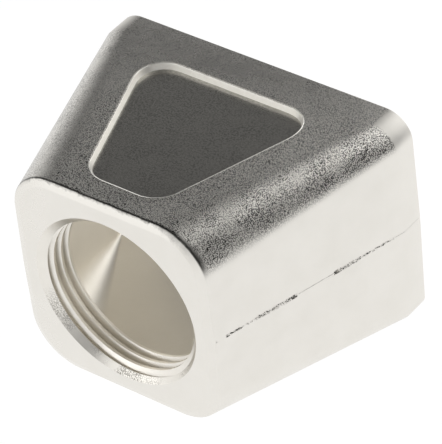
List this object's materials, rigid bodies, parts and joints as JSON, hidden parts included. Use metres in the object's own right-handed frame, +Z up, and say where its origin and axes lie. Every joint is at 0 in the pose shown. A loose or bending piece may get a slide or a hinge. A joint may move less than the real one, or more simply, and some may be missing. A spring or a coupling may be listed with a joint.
{
  "type": "connector cap",
  "caption": "Flared die-cast cap for a cable connector, with a threaded cable entry in its small end, a sunk field in its top and an open rectangular mouth at its wide end.",
  "frame": {"origin": "middle of the cap's base, under the middle of its length and width", "axes": "+Z up from the base to the sunk field, -Y out of the threaded cable entry, +Y out of the open mouth, +X across the wide end"},
  "size_m": [0.0482, 0.0344, 0.032],
  "materials": {
    "nickel_plate": "satin nickel plate over a fine-grained zinc die casting"
  },
  "bodies": {
    "root": {"cap_body": "nickel_plate"}
  },
  "joints": []
}
